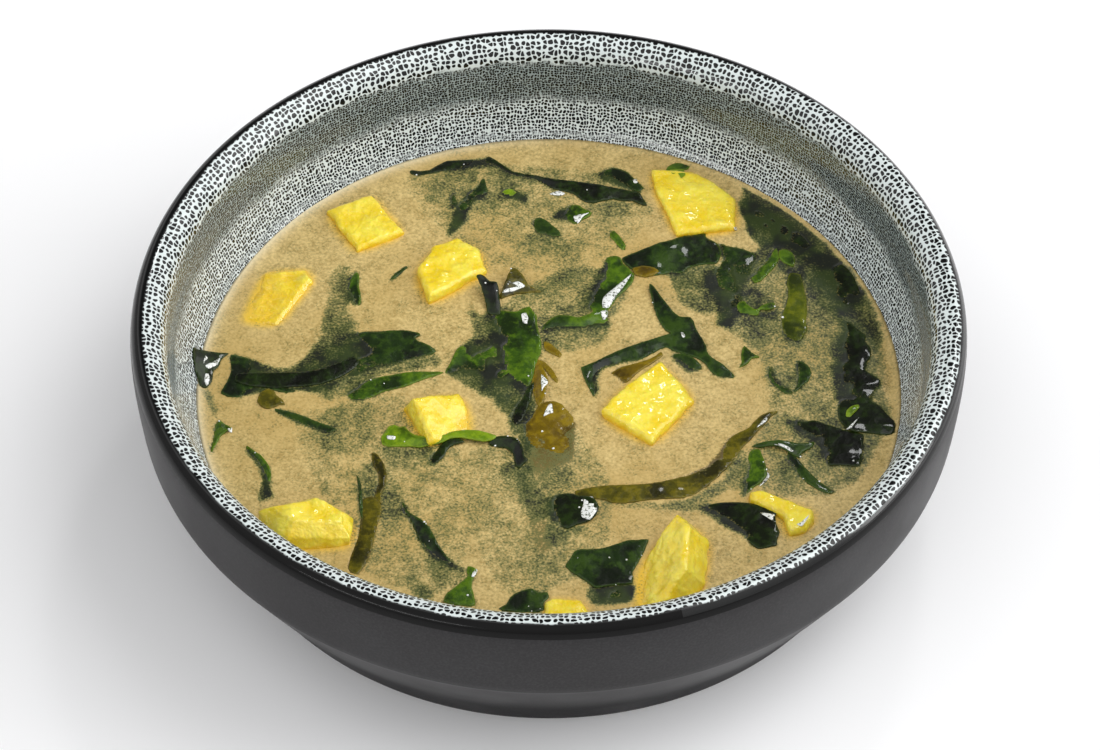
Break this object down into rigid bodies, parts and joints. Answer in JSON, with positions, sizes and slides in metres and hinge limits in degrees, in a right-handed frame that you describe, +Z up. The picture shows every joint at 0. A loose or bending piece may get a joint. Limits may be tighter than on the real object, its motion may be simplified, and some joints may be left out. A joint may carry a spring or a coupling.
{
  "type": "bowl of miso soup",
  "caption": "Dot-glazed stoneware bowl filled with cloudy miso broth, with cut blocks of yellow egg tofu and ribbons of dark green wakame floating in it.",
  "frame": {"origin": "centre of the foot ring, on the surface the bowl stands on", "axes": "+Z up; +Y away from the side the soup is looked at from; +X to the right seen from there"},
  "size_m": [0.165, 0.165, 0.0453],
  "materials": {
    "stoneware": "reactive dot glaze inside, matte charcoal glaze outside, gloss at the lip",
    "miso_broth": "cloudy sandy-beige miso broth, wet",
    "egg_tofu": "soft yellow tofu, smooth and wet",
    "wakame": "softened dark green seaweed, wet and glossy"
  },
  "bodies": {
    "root": {"bowl": "stoneware", "broth": "miso_broth", "tofu_back_left": "egg_tofu", "tofu_left": "egg_tofu", "tofu_back_middle": "egg_tofu", "tofu_back_right": "egg_tofu", "tofu_middle_left": "egg_tofu", "tofu_middle": "egg_tofu", "tofu_front_left": "egg_tofu", "tofu_front": "egg_tofu", "tofu_front_right": "egg_tofu", "tofu_rim": "egg_tofu", "wakame_back": "wakame", "wakame_back_stem": "wakame", "wakame_leaf_left": "wakame", "wakame_left": "wakame", "wakame_left_lower": "wakame", "wakame_middle": "wakame", "wakame_upright": "wakame", "wakame_curl": "wakame", "wakame_bend": "wakame", "wakame_pod": "wakame", "wakame_fork": "wakame", "wakame_fork_arm": "wakame", "wakame_wall_back": "wakame", "wakame_fin": "wakame", "wakame_blade_right": "wakame", "wakame_wall_right": "wakame", "wakame_sheet": "wakame", "wakame_arch": "wakame", "wakame_drop": "wakame", "wakame_sprig": "wakame", "wakame_strand": "wakame", "wakame_knot": "wakame", "wakame_strip": "wakame", "wakame_ruffle": "wakame", "wakame_hook": "wakame", "wakame_front_left": "wakame", "wakame_front_tip": "wakame", "wakame_small_left": "wakame", "wakame_crescent": "wakame", "wakame_front_sheet": "wakame", "wakame_front_leaf": "wakame", "wakame_flake_back": "wakame", "wakame_flake_right": "wakame", "wakame_rim": "wakame"}
  },
  "joints": []
}
